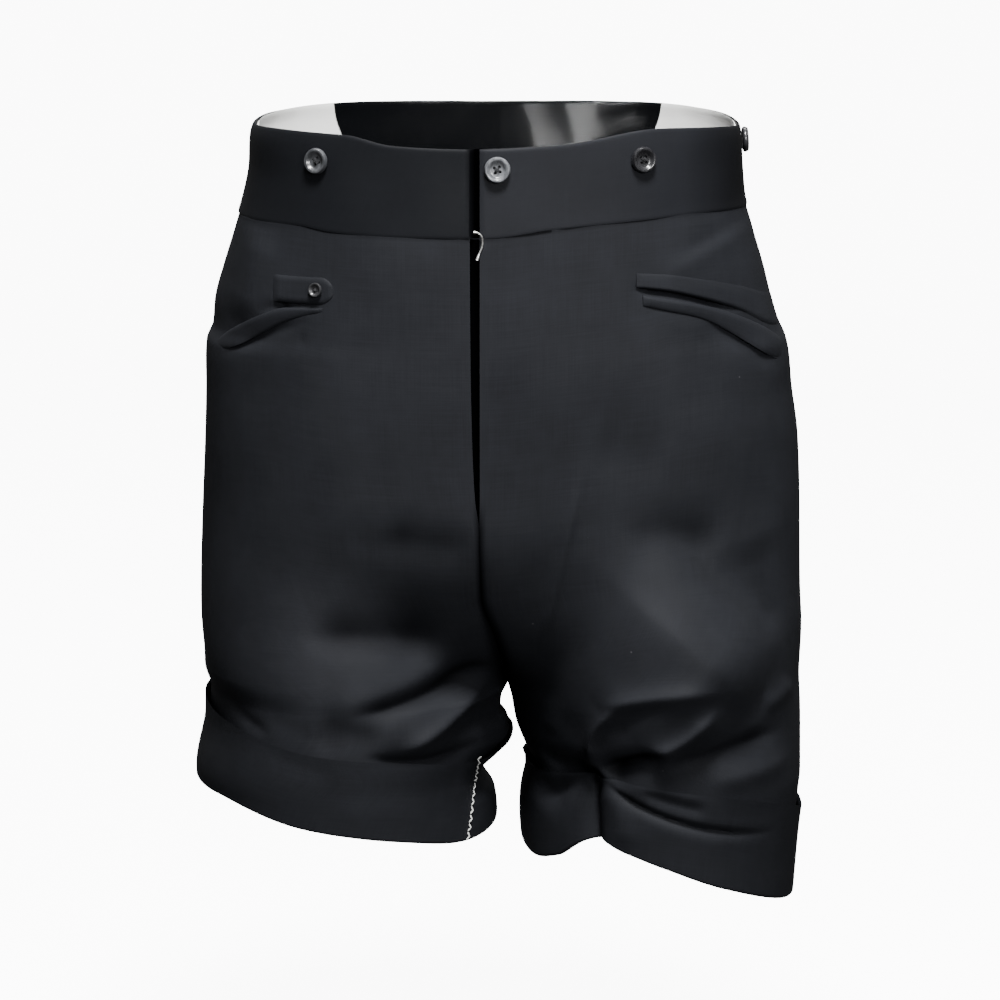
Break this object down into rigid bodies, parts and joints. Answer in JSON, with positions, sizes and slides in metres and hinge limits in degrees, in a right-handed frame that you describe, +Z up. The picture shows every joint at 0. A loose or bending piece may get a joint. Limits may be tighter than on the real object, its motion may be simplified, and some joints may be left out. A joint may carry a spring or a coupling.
{
  "type": "shorts",
  "caption": "High-waisted trouser shorts with a lapped waistband, fly, slanting front pockets, brace buttons and turned-up cuffs, standing hollow as if worn.",
  "frame": {"origin": "the middle of the waistband ring, half way up the band, where the wearer's waist holds the shorts", "axes": "+Z up, +X towards the wearer's left, -Y the front"},
  "size_m": [0.385, 0.2557, 0.4957],
  "materials": {
    "body_cloth": "fine black wool twill with a faint sheen",
    "waistband_cloth": "black satin-faced wool, soft sheen",
    "back_lining_satin": "glossy black satin",
    "side_lining_cotton": "undyed matt cotton",
    "grey_button": "glossy grey horn",
    "dark_button": "glossy black horn",
    "hook_wire": "dull bright wire"
  },
  "bodies": {
    "root": {"front_right": "body_cloth", "front_left": "body_cloth", "back_right": "body_cloth", "back_left": "body_cloth", "fly_underlap": "body_cloth", "pocket_welt_right": "body_cloth", "pocket_welt_left": "body_cloth", "pocket_facing_left": "body_cloth", "pocket_tab_right": "body_cloth", "cuff_right": "body_cloth", "cuff_left": "body_cloth", "waistband_right": "waistband_cloth", "waistband_left": "waistband_cloth", "waistband_tab": "waistband_cloth", "lining_back_right": "back_lining_satin", "lining_back_left": "back_lining_satin", "lining_side_right": "side_lining_cotton", "lining_side_left": "side_lining_cotton", "button_centre": "grey_button", "button_brace_right": "grey_button", "button_pocket": "grey_button", "button_brace_left": "dark_button", "button_side_right": "dark_button", "button_side_left": "dark_button", "hook": "hook_wire"}
  },
  "joints": []
}
